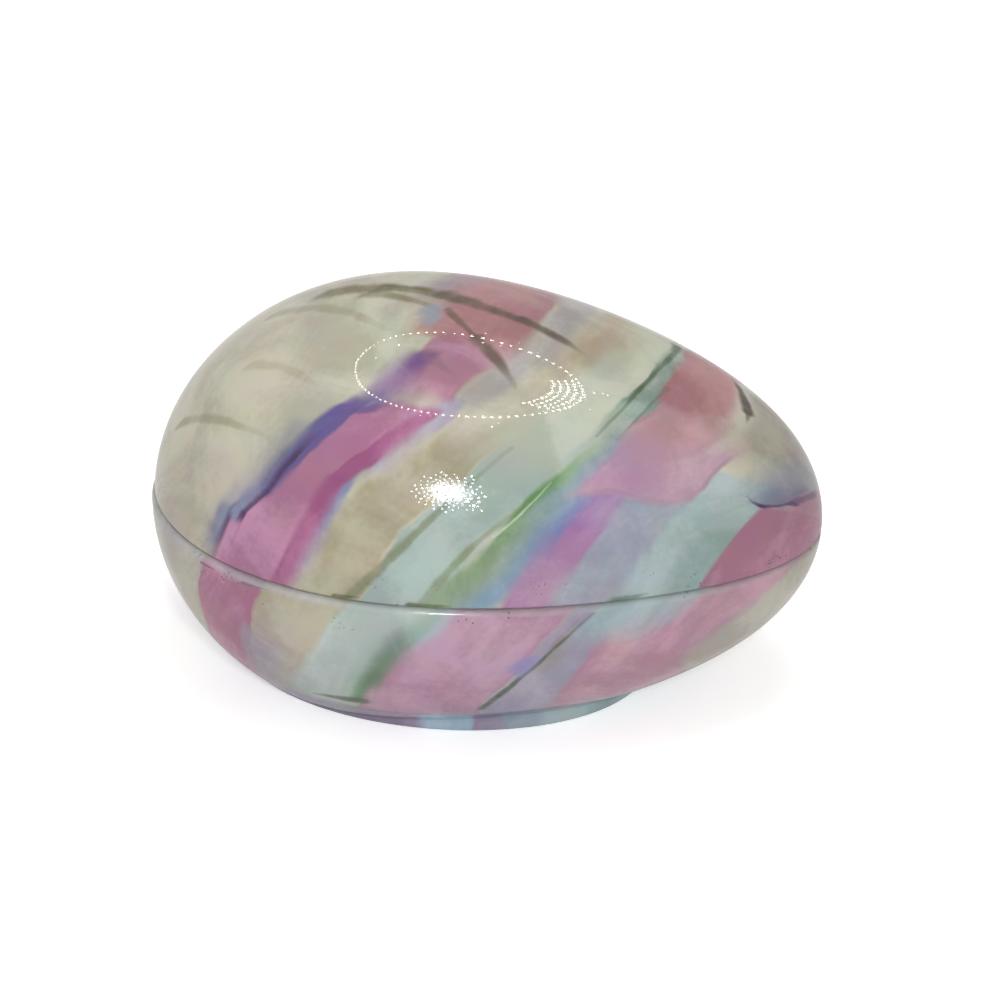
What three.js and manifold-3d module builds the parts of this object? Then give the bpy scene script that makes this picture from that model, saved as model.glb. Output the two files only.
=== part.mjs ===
// An egg-shaped porcelain trinket box that lies on its side: a hollow base on an
// oval foot ring, with a collar inside its rim, and a hollow lid that lifts off.
// Millimetres, +Z up. The origin is on the ground under the middle of the egg's
// length, and +X runs from the blunt end to the pointed end.

import * as THREE from 'three';
import { mergeVertices } from 'three/addons/utils/BufferGeometryUtils.js';
import Module from 'manifold-3d';

const wasm = await Module();
wasm.setup();

// Driving dimensions of the egg
const EGG_LENGTH = 110;
const EGG_MIDDLE_DIAMETER = 73.1;
const BLUNT_END_SWELL = 0.2;
const BOTH_ENDS_SWELL = 0.017;
const TIP_EASING = -0.083;

// Porcelain thicknesses
const WALL = 3;
const FLOOR = 3;

// Seam between base and lid
const SEAM_HEIGHT = 29;
const SEAM_GAP = 0.3;
const RIM_CHAMFER = 0.8;
const LID_SETBACK = 0.2;
const LID_PLAY = 0.8;

// Collar inside the rim of the base
const COLLAR_RISE = 3;
const COLLAR_WALL = 1.8;
const COLLAR_DEPTH = 2;

// Foot ring
const FOOT_LENGTH = 69;
const FOOT_WIDTH = 51;
const FOOT_CENTRE_X = -5.7;
const FOOT_RING_WIDTH = 4;
const FOOT_RECESS = 1.5;
const FOOT_EDGE = 0.5;

// Facets: around the egg, along the egg, and around the foot
const ROUND_STEPS = 48;
const LENGTH_STEPS = 36;
const FOOT_STEPS = 56;

// Sizes that follow from the driving dimensions
const COLLAR_INSET = LID_SETBACK + WALL + LID_PLAY;
const THROAT_INSET = COLLAR_INSET + COLLAR_WALL;
const FLOOR_HEIGHT = FOOT_RECESS + FLOOR;
const BEYOND = EGG_LENGTH + EGG_MIDDLE_DIAMETER;

// Glazed porcelain in the two washes that show most on each piece
const lidGlaze = new THREE.MeshStandardMaterial({ color: 0xcfc0c4, roughness: 0.15, metalness: 0 });
const baseGlaze = new THREE.MeshStandardMaterial({ color: 0xd2bcc4, roughness: 0.15, metalness: 0 });

// One point of the egg's side outline, from the blunt tip (angle 0) to the pointed
// tip (angle pi), moved inwards by inset: x along the egg, y out from its long axis.
function outlinePoint(angle, inset) {
  const c = Math.cos(angle);
  const s = Math.sin(angle);
  const radius = EGG_MIDDLE_DIAMETER / 2;
  const swell = 1 + BLUNT_END_SWELL * c + BOTH_ENDS_SWELL * c ** 2 + TIP_EASING * c ** 3;
  const swellSlope = BLUNT_END_SWELL + 2 * BOTH_ENDS_SWELL * c + 3 * TIP_EASING * c ** 2;
  const point = new THREE.Vector2(-EGG_LENGTH / 2 * c, radius * s * swell);
  const along = new THREE.Vector2(EGG_LENGTH / 2 * s, radius * (c * swell - s ** 2 * swellSlope));
  const inwards = new THREE.Vector2(along.y, -along.x).normalize();
  return point.addScaledVector(inwards, inset);
}

// The side outline between its tips, both tips left out
function outlineBetweenTips(inset) {
  const points = [];
  for (let i = 1; i < LENGTH_STEPS; i += 1) {
    points.push(outlinePoint(Math.PI * i / LENGTH_STEPS, inset));
  }
  return points;
}

// The egg seen from above, as a closed flat shape
function planShape(inset) {
  const bluntTip = outlinePoint(0, inset);
  const pointedTip = outlinePoint(Math.PI, inset);
  const farSide = outlineBetweenTips(inset);
  const nearSide = farSide.map((p) => new THREE.Vector2(p.x, -p.y));
  return new THREE.Shape([bluntTip, ...nearSide, pointedTip, ...farSide.reverse()]);
}

// A closed mesh becomes a solid once its shared vertices are merged
function solid(geometry) {
  const bare = geometry.clone();
  bare.deleteAttribute('normal');
  bare.deleteAttribute('uv');
  const merged = mergeVertices(bare);
  const corners = merged.index.array;
  const triangles = [];
  for (let i = 0; i < corners.length; i += 3) {
    const [a, b, c] = corners.slice(i, i + 3);
    if (a !== b && b !== c && c !== a) {
      triangles.push(a, b, c);
    }
  }
  const mesh = new wasm.Mesh({
    numProp: 3,
    vertProperties: Float32Array.from(merged.attributes.position.array),
    triVerts: Uint32Array.from(triangles),
  });
  return new wasm.Manifold(mesh);
}

// A whole egg, turned about its long axis and lifted to the seam
function egg(inset) {
  const blunt = outlinePoint(0, inset);
  const pointed = outlinePoint(Math.PI, inset);
  const profile = [new THREE.Vector2(0, blunt.x)];
  for (const p of outlineBetweenTips(inset)) {
    profile.push(new THREE.Vector2(p.y, p.x));
  }
  profile.push(new THREE.Vector2(0, pointed.x));
  const geometry = new THREE.LatheGeometry(profile, ROUND_STEPS);
  geometry.rotateZ(-Math.PI / 2);
  geometry.translate(0, 0, SEAM_HEIGHT);
  return solid(geometry);
}

// A level slab wider than the egg
function slab(low, high) {
  const geometry = new THREE.BoxGeometry(BEYOND, BEYOND, high - low);
  geometry.translate(0, 0, (low + high) / 2);
  return solid(geometry);
}

// All that lies on one side of a level face whose rim is chamfered: the face is the
// plan shape drawn in by chamfer, and the slope leaves the plan shape's own edge one
// chamfer away from the face. Upwards is true for what stands on the face.
function chamferedBlock(inset, chamfer, level, upwards) {
  const geometry = new THREE.ExtrudeGeometry(planShape(inset), {
    depth: BEYOND,
    bevelEnabled: chamfer > 0,
    bevelSegments: 1,
    bevelOffset: -chamfer,
    bevelSize: 2 * chamfer,
    bevelThickness: 2 * chamfer,
  });
  geometry.translate(0, 0, 2 * chamfer);
  if (!upwards) {
    geometry.rotateX(Math.PI);
  }
  geometry.translate(0, 0, level);
  return solid(geometry);
}

// An upright block on the foot's oval, drawn in by inset
function footBlock(inset, low, high, edge) {
  const oval = new THREE.Shape();
  oval.absellipse(FOOT_CENTRE_X, 0, FOOT_LENGTH / 2 - inset, FOOT_WIDTH / 2 - inset, 0, 2 * Math.PI);
  const geometry = new THREE.ExtrudeGeometry(oval, {
    depth: high - low - 2 * edge,
    curveSegments: FOOT_STEPS,
    bevelEnabled: edge > 0,
    bevelSegments: 1,
    bevelOffset: -edge,
    bevelSize: edge,
    bevelThickness: edge,
  });
  geometry.translate(0, 0, low + edge);
  return solid(geometry);
}

// A finished solid becomes a named mesh
function piece(name, shape, material) {
  const { vertProperties, triVerts } = shape.getMesh();
  const geometry = new THREE.BufferGeometry();
  geometry.setAttribute('position', new THREE.BufferAttribute(vertProperties, 3));
  geometry.setIndex(new THREE.BufferAttribute(triVerts, 1));
  geometry.computeVertexNormals();
  const mesh = new THREE.Mesh(geometry, material);
  mesh.name = name;
  return mesh;
}

// Base: half an egg with its foot, its collar and a hollow under a narrower throat
function makeBase() {
  const outside = egg(0)
    .intersect(chamferedBlock(0, RIM_CHAMFER, SEAM_HEIGHT, false))
    .intersect(slab(0, BEYOND));
  const foot = footBlock(0, 0, FLOOR_HEIGHT + WALL, FOOT_EDGE);
  const collar = egg(COLLAR_INSET)
    .intersect(slab(SEAM_HEIGHT - COLLAR_DEPTH, SEAM_HEIGHT + COLLAR_RISE));
  const throatFoot = SEAM_HEIGHT - COLLAR_DEPTH;
  const hollow = egg(WALL)
    .intersect(chamferedBlock(WALL, THROAT_INSET - WALL, throatFoot, false))
    .intersect(slab(FLOOR_HEIGHT, BEYOND));
  const throat = chamferedBlock(THROAT_INSET, 0, throatFoot - COLLAR_DEPTH, true);
  const recess = footBlock(FOOT_RING_WIDTH, -FOOT_RECESS, FOOT_RECESS, 0);
  const shape = outside.add(foot).add(collar).subtract(hollow).subtract(throat).subtract(recess);
  return piece('base', shape, baseGlaze);
}

// Lid: half a slightly smaller egg, hollow, pushed to the pointed end of its play
function makeLid() {
  const level = SEAM_HEIGHT + SEAM_GAP;
  const shape = egg(LID_SETBACK)
    .intersect(chamferedBlock(LID_SETBACK, RIM_CHAMFER, level, true))
    .subtract(egg(LID_SETBACK + WALL));
  const mesh = piece('lid', shape, lidGlaze);
  mesh.position.x = LID_SETBACK;
  return mesh;
}

const box = new THREE.Group();
box.name = 'egg_trinket_box';
box.add(makeBase());
box.add(makeLid());

export default box;
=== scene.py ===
"""Looks of a porcelain egg trinket box: two glazed shells painted with slanting wash bands."""

import math
from collections import namedtuple

import bmesh
import bpy
from mathutils import Matrix, Vector


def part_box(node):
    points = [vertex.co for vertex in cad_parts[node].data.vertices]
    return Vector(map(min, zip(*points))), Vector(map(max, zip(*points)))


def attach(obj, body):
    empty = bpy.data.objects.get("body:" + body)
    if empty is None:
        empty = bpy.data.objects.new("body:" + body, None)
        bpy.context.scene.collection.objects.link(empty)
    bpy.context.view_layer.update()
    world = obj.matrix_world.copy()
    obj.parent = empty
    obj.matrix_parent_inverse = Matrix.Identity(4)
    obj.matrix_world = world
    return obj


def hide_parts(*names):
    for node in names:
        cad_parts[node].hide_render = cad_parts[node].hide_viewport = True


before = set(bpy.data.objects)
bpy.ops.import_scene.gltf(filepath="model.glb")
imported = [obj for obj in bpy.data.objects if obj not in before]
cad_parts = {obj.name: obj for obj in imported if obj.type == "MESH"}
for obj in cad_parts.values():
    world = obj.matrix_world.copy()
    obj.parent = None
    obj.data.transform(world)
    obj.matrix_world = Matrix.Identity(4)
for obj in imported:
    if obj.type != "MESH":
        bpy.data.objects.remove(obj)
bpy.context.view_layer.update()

MM = 0.001

# Sizes of the egg, the same as in the solids
EGG_LENGTH = 110 * MM
EGG_RADIUS = 36.55 * MM
BLUNT_END_SWELL = 0.2
BOTH_ENDS_SWELL = 0.017
TIP_EASING = -0.083
WALL = 3 * MM
LID_SETBACK = 0.2 * MM
COLLAR_INSET = 4 * MM
THROAT_INSET = 5.8 * MM
COLLAR_RISE = 3 * MM
COLLAR_DEPTH = 2 * MM
SEAM_GAP = 0.3 * MM
FOOT_LENGTH = 69 * MM
FOOT_WIDTH = 51 * MM
FOOT_CENTRE_X = -5.7 * MM
FOOT_RING_WIDTH = 4 * MM
FOOT_RECESS = 1.5 * MM
FLOOR_HEIGHT = 4.5 * MM

# The seam lies where the lid begins, less the gap under its rim
SEAM_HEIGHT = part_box("lid")[0].z - SEAM_GAP

# Soft edges that the glaze rounds over
LID_RIM_ROUND = 0.6 * MM
BASE_RIM_ROUND = 1.1 * MM
INNER_RIM_ROUND = 0.6 * MM
COLLAR_ROUND = 0.6 * MM
FOOT_ROUND = 0.7 * MM
FLOOR_BLEND = 5 * MM

# Mesh density: points around the egg, and rows on its walls
AROUND = 192
WALL_ROWS = 56
INSIDE_ROWS = 30
ROUND_ROWS = 7
# Search for a place on the outline: halvings, and the step either side that shows its slope
HALVINGS = 40
SLOPE_STEP = 1e-4
# Half the side of the sheet that a shell is bent from, and the lengths under which points and edges merge
SHEET_HALF = 0.5
SAME_POINT = 1e-6
NO_LENGTH = 1e-7

# Material slots of both pieces
PAINTED = 0
WHITE = 1
BISCUIT = 2


def outline(angle, inset):
    """(x, radius) of the egg's side outline, from the blunt tip at angle 0 to the pointed tip at pi."""
    c = math.cos(angle)
    s = math.sin(angle)
    swell = 1 + BLUNT_END_SWELL * c + BOTH_ENDS_SWELL * c**2 + TIP_EASING * c**3
    swell_slope = BLUNT_END_SWELL + 2 * BOTH_ENDS_SWELL * c + 3 * TIP_EASING * c**2
    along = EGG_LENGTH / 2 * s
    out = EGG_RADIUS * (c * swell - s**2 * swell_slope)
    length = math.hypot(along, out)
    x = -EGG_LENGTH / 2 * c + inset * out / length
    radius = EGG_RADIUS * s * swell - inset * along / length
    return x, radius


def halve(low, high, too_low):
    """The value between low and high at which too_low stops being true."""
    for _ in range(HALVINGS):
        middle = (low + high) / 2
        if too_low(middle):
            low = middle
        else:
            high = middle
    return (low + high) / 2


def radius_at(x, inset):
    """Radius of the egg, drawn in by inset, at a place along its length."""
    angle = halve(0, math.pi, lambda a: outline(a, inset)[0] < x)
    return max(outline(angle, inset)[1], 0.0)


# Angle of the outline's widest point
WIDEST = halve(0, math.pi, lambda a: outline(a + SLOPE_STEP, 0)[1] > outline(a - SLOPE_STEP, 0)[1])


def level_loop(height, inset, z):
    """Loop around the egg at a height above or below its seam, drawn in by inset and set at z."""
    crown = outline(WIDEST, inset)[1]
    height = min(height, crown)
    blunt = outline(halve(0, WIDEST, lambda a: outline(a, inset)[1] < height), inset)[0]
    pointed = outline(halve(WIDEST, math.pi, lambda a: outline(a, inset)[1] > height), inset)[0]
    half = []
    for i in range(AROUND // 2 + 1):
        x = (blunt + pointed) / 2 + (pointed - blunt) / 2 * math.cos(2 * math.pi * i / AROUND)
        y = math.sqrt(max(radius_at(x, inset) ** 2 - height**2, 0.0))
        half.append(Vector((x, y, z)))
    half[0].y = 0
    half[-1].y = 0
    return half + [Vector((p.x, -p.y, z)) for p in reversed(half[:-1])]


def foot_loop(inset, z):
    """Loop on the foot's oval, drawn in by inset and set at z."""
    loop = []
    for i in range(AROUND + 1):
        angle = 2 * math.pi * i / AROUND
        x = FOOT_CENTRE_X + (FOOT_LENGTH / 2 - inset) * math.cos(angle)
        y = (FOOT_WIDTH / 2 - inset) * math.sin(angle)
        loop.append(Vector((x, y, z)))
    return loop


def point_loop(x, z):
    """A loop drawn together to one point, which closes a shell."""
    return [Vector((x, 0, z))] * (AROUND + 1)


def between(first, last, share):
    """Loop that lies part of the way from one loop to another."""
    return [a.lerp(b, share) for a, b in zip(first, last)]


def laid_on_egg(loop, inset, deepest=None):
    """The loop dropped on to the underside of the egg, or on to a floor that blends into it."""
    laid = []
    for p in loop:
        depth = math.sqrt(max(radius_at(p.x, inset) ** 2 - p.y**2, 0.0))
        if deepest is not None:
            blend = max(FLOOR_BLEND - abs(depth - deepest), 0.0) / FLOOR_BLEND
            depth = min(depth, deepest) - blend**2 * FLOOR_BLEND / 4
        laid.append(Vector((p.x, p.y, SEAM_HEIGHT - depth)))
    return laid


def rounding(start, end, upright):
    """Places on a quarter round, each an inset and a height, that sets off upright or level."""
    places = []
    for i in range(ROUND_ROWS + 1):
        turn = math.pi / 2 * i / ROUND_ROWS
        late = 1 - math.cos(turn)
        early = math.sin(turn)
        across, rise = (late, early) if upright else (early, late)
        places.append((start[0] + (end[0] - start[0]) * across, start[1] + (end[1] - start[1]) * rise))
    return places


def shell(name, strips):
    """Closed piece made from loops: each strip holds loops and the material of what follows them."""
    loops = []
    slots = []
    for rows, slot in strips:
        loops += rows
        slots += [slot] * len(rows)
    bm = bmesh.new()
    last = len(loops) - 1
    bmesh.ops.create_grid(bm, x_segments=AROUND, y_segments=last, size=SHEET_HALF)
    row_of = {}
    for vert in bm.verts:
        row = round((vert.co.y + SHEET_HALF) * last)
        column = round((vert.co.x + SHEET_HALF) * AROUND)
        row_of[vert] = row
        vert.co = loops[row][column]
    for face in bm.faces:
        face.material_index = slots[min(row_of[v] for v in face.verts)]
        face.smooth = True
    bmesh.ops.remove_doubles(bm, verts=bm.verts, dist=SAME_POINT)
    bmesh.ops.dissolve_degenerate(bm, edges=bm.edges, dist=NO_LENGTH)
    bmesh.ops.recalc_face_normals(bm, faces=bm.faces)
    mesh = bpy.data.meshes.new(name)
    bm.to_mesh(mesh)
    bm.free()
    piece = bpy.data.objects.new(name, mesh)
    bpy.context.scene.collection.objects.link(piece)
    return piece


def dome(inset, rows, rim_round):
    """Loops of the lid's wall, drawn in by inset, from its crown down to where its rim rounds over."""
    crown_x, crown = outline(WIDEST, inset)
    lowest = math.asin((SEAM_GAP + rim_round) / crown)
    loops = [point_loop(crown_x, SEAM_HEIGHT + crown)]
    for i in range(1, rows + 1):
        turn = math.pi / 2 + (lowest - math.pi / 2) * i / rows
        height = crown * math.sin(turn)
        loops.append(level_loop(height, inset, SEAM_HEIGHT + height))
    return loops


def lid_shell():
    """Lid: the inside from its crown down, round the rim, and the outside up to its crown."""
    inside = LID_SETBACK + WALL
    level = SEAM_HEIGHT + SEAM_GAP
    hollow = dome(inside, INSIDE_ROWS, INNER_RIM_ROUND)
    inner = inside - INNER_RIM_ROUND
    inner_round = rounding((inside, level + INNER_RIM_ROUND), (inner, level), upright=True)
    rim = [level_loop(0, *place) for place in inner_round[1:]]
    outer = LID_SETBACK + LID_RIM_ROUND
    outer_round = rounding((outer, level), (LID_SETBACK, level + LID_RIM_ROUND), upright=False)
    edge = [level_loop(0, *place) for place in outer_round[:-1]]
    outside = dome(LID_SETBACK, WALL_ROWS, LID_RIM_ROUND)[::-1]

    piece = shell("lid_shell", [(hollow, WHITE), (rim, BISCUIT), (edge + outside, PAINTED)])
    piece.data.transform(Matrix.Translation((LID_SETBACK, 0, 0)))
    return piece


def base_shell():
    """Base: the hollow from its floor up, the throat and collar, the rim, the outside, and the foot."""
    floor_depth = SEAM_HEIGHT - FLOOR_HEIGHT
    root = COLLAR_DEPTH + THROAT_INSET - WALL
    brim = level_loop(root, WALL, SEAM_HEIGHT - root)
    centre = point_loop(FOOT_CENTRE_X, FLOOR_HEIGHT)
    hollow = [centre]
    for i in range(1, INSIDE_ROWS):
        share = math.sin(math.pi / 2 * i / INSIDE_ROWS)
        hollow.append(laid_on_egg(between(centre, brim, share), WALL, floor_depth))
    throat = rounding((WALL, SEAM_HEIGHT - root), (THROAT_INSET, SEAM_HEIGHT - COLLAR_DEPTH), upright=True)
    hollow += [level_loop(0, *place) for place in throat]

    top = SEAM_HEIGHT + COLLAR_RISE
    shoulder = COLLAR_RISE - COLLAR_ROUND
    foot_of_collar = SEAM_HEIGHT + COLLAR_ROUND
    inner_lip = THROAT_INSET - COLLAR_ROUND
    inner_round = rounding((THROAT_INSET, top - COLLAR_ROUND), (inner_lip, top), upright=True)
    collar = [level_loop(0, *place) for place in inner_round[:-1]]
    outer_lip = COLLAR_INSET + COLLAR_ROUND
    outer_round = rounding((outer_lip, top), (COLLAR_INSET, top - COLLAR_ROUND), upright=False)
    collar += [level_loop(shoulder, *place) for place in outer_round]
    collar.append(level_loop(COLLAR_ROUND, COLLAR_INSET, foot_of_collar))
    seat_edge = COLLAR_INSET - COLLAR_ROUND
    seat_round = rounding((COLLAR_INSET, foot_of_collar), (seat_edge, SEAM_HEIGHT), upright=True)
    collar += [level_loop(0, *place) for place in seat_round[1:-1]]
    seat = [level_loop(0, *seat_round[-1])]

    rim_round = rounding((BASE_RIM_ROUND, SEAM_HEIGHT), (0, SEAM_HEIGHT - BASE_RIM_ROUND), upright=False)
    edge = [level_loop(0, *place) for place in rim_round[:-1]]
    wall_top = level_loop(BASE_RIM_ROUND, 0, SEAM_HEIGHT - BASE_RIM_ROUND)
    oval = foot_loop(0, 0)
    wall = [wall_top]
    for i in range(1, WALL_ROWS):
        share = 1 - math.cos(math.pi / 2 * i / WALL_ROWS)
        wall.append(laid_on_egg(between(wall_top, oval, share), 0))

    ring_top = laid_on_egg(oval, 0)
    halfway = 1 / 2
    wall += [ring_top, between(ring_top, foot_loop(0, FOOT_ROUND), halfway)]
    ring_outside = rounding((0, FOOT_ROUND), (FOOT_ROUND, 0), upright=True)
    wall += [foot_loop(*place) for place in ring_outside[:-1]]
    sole_end = FOOT_RING_WIDTH - FOOT_ROUND
    ring_inside = rounding((sole_end, 0), (FOOT_RING_WIDTH, FOOT_ROUND), upright=False)
    sole = [foot_loop(*place) for place in ring_outside[-1:] + ring_inside[:-1]]
    recess_end = FOOT_RING_WIDTH + FOOT_RECESS - FOOT_ROUND
    recess = rounding((FOOT_RING_WIDTH, FOOT_ROUND), (recess_end, FOOT_RECESS), upright=True)
    under = [foot_loop(*place) for place in recess[:-1]]
    last_oval = foot_loop(FOOT_RING_WIDTH + FOOT_RECESS, FOOT_RECESS)
    under_centre = point_loop(FOOT_CENTRE_X, FOOT_RECESS)
    under += [between(last_oval, under_centre, i / ROUND_ROWS) for i in range(ROUND_ROWS)]
    under.append(under_centre)

    return shell(
        "base_shell",
        [(hollow + collar, WHITE), (seat, BISCUIT), (edge + wall, PAINTED), (sole, BISCUIT), (under, WHITE)],
    )


def linear(code):
    """Linear colour of an sRGB hex value."""
    parts = [int(code[i : i + 2], 16) / 255 for i in (0, 2, 4)]
    return [p / 12.92 if p <= 0.04045 else ((p + 0.055) / 1.055) ** 2.4 for p in parts] + [1.0]


def add(tree, kind, inputs=None, **settings):
    """Adds a node with its settings, and links or sets each input. A node links by its first output."""
    node = tree.nodes.new(kind)
    for name, value in settings.items():
        setattr(node, name, value)
    for name, value in (inputs or {}).items():
        if isinstance(value, bpy.types.Node):
            value = value.outputs[0]
        if isinstance(value, bpy.types.NodeSocket):
            tree.links.new(value, node.inputs[name])
        else:
            node.inputs[name].default_value = value
    return node


def new_material(name):
    """A material with an empty tree."""
    material = bpy.data.materials.new(name)
    material.use_nodes = True
    material.node_tree.nodes.clear()
    return material


def new_group(name, colours, numbers, vectors, result):
    """An empty node group with its inputs and one result."""
    group = bpy.data.node_groups.new(name, "ShaderNodeTree")
    for names, kind in ((colours, "Color"), (numbers, "Float"), (vectors, "Vector")):
        for socket in names:
            group.interface.new_socket(socket, in_out="INPUT", socket_type="NodeSocket" + kind)
    group.interface.new_socket(result, in_out="OUTPUT", socket_type="NodeSocketColor")
    return group


# Two mixed colours sit on these inputs and this output of Blender's Mix node
FIRST_COLOUR = 6
SECOND_COLOUR = 7
MIXED_COLOUR = 2

# Glaze: how it bends light, and the faint orange peel that it dries to, as ripples in mm
GLAZE_IOR = 1.5
RIPPLE_WIDTH = 3.0
RIPPLE_DEPTH = 0.006 * MM
# Pearly flakes in the glaze, which break the edge of a highlight into sparkles: size in mm, tilt and share
FLAKE_SIZE = 0.32
FLAKE_TILT = 0.12
FLAKE_SHARE = 0.05
# Spacing of pinholes and of their clusters in mm
PINHOLE_SPACING = 0.75
PINHOLE_CLUSTER = 6
PINHOLE_COLOUR = "4d4a44"
# Clouds in the white glaze, and the rubbed patches and sandy tooth of the biscuit
WHITE_CLOUD = 16 * MM
RUBBED_PATCH = 5 * MM
TOOTH_SIZE = 0.4 * MM
TOOTH_DEPTH = 0.03 * MM

# Pigment in mm: clouds, settled grains, and the width and length of the marks that brush hairs leave
CLOUD = 15
GRANULE = 0.9
HAIR_WIDTH = 1.6
HAIR_LENGTH = 22
# What hairs and grains add to the clouds
HAIR_WEIGHT = 0.12
GRANULE_WEIGHT = 0.1
# Sizes in mm of drifts that soften edges, grit in a stroke and tints that bleed, and the share of the tints
DRIFT = 11
GRIT = 4
BLEED = 8
BLEED_SHARE = 0.2
# Waver of the brush in mm, and how far it strays
WAVER = 15
WAVER_SIZE = 8
# Shares of the waver that reach the steady chart and the edge of the rim
TREMBLE = 0.2
RIM_RAG = 0.3
# Width in mm of the line where pigment pools inside an edge
POOL_WIDTH = 1.2
# Width of a stroke's end, and of its full-strength core, as shares of its width
THIN_END = 0.35
FIRM_CORE = 0.25
# Share of a stroke where the brush begins to lift, and the strength left at its end
LIFT_FROM = 0.6
LIFTED = 0.35

# Inputs 1 and 2 of Blender's Map Range node are where a range begins and ends, and 3 and 4 what it becomes
THICKNESS_RANGE = {1: 0.47, 2: 0.74}
SOFTNESS_RANGE = {1: 0.34, 2: 0.66, 3: 0.5, 4: 2.2}
GRAIN_RANGE = {1: 0.28, 2: 0.72, 3: 0.72, 4: 1.2}
SHINE_RANGE = {1: 0.3, 2: 0.7, 3: 0.4, 4: 0.55}
PINHOLE_RANGE = {1: 0.1, 2: 0.26, 3: 1.0, 4: 0.0}
CLUSTER_RANGE = {1: 0.62, 2: 0.66}
# Pinholes thin out between these distances from the seam, in mm
SEAM_RANGE = {1: 2.0, 2: 7, 3: 1.0, 4: 0.0}
# An edge fades over its whole width, pigment pools inside it, and a brush lifts towards its end
EDGE_RANGE = {1: -0.5, 2: 0.5}
POOL_RANGE = {1: 0.0, 2: POOL_WIDTH, 3: 1.0, 4: 0.0}
LIFT_RANGE = {1: LIFT_FROM, 2: 1.0, 3: 1.0, 4: LIFTED}
# A smooth step holds its own ends, so it needs no clamp
SMOOTH = {"interpolation_type": "SMOOTHSTEP", "clamp": False}
# Mean colour of a noise or of cells
MEAN_COLOUR = (0.5, 0.5, 0.5)

# Girth in mm is measured round this mean radius from the front of the seam, over the lid or under the base
GIRTH_RADIUS = 37
# Slant of the bands: mm that they move along the egg for each mm back and up
SLANT_BACK = 0.64
LID_SLANT_UP = 0.36
BASE_SLANT_UP = 0.71
# The bands under the blunt end lean more: mm along the egg for each mm of girth
BLUNT_LEAN = 0.35
# Swing of the bands over the lid, by the end they are near: middle girth, reach and size of the swing
SWINGS = {"blunt": (43, 30, 9.5), "point": (33, 33, 7.0)}

# Widths in mm that the edge of a wash fades over
CRISP = 0.7
FIRM = 1.2
SOFT = 2.0
LOOSE = 3.5
HAZY = 6
LOST = 12
# A wash of thinned colour lies on a chart within four edges, each a place in mm and its fade
Wash = namedtuple("Wash", "chart thin thick left right low high strength pool", defaults=(0.92, 0.3))
# A stroke of a loaded brush runs from start to end, each a slanted place along the egg and a girth, in mm
Stroke = namedtuple("Stroke", "colour strength start end bend width")

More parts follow.
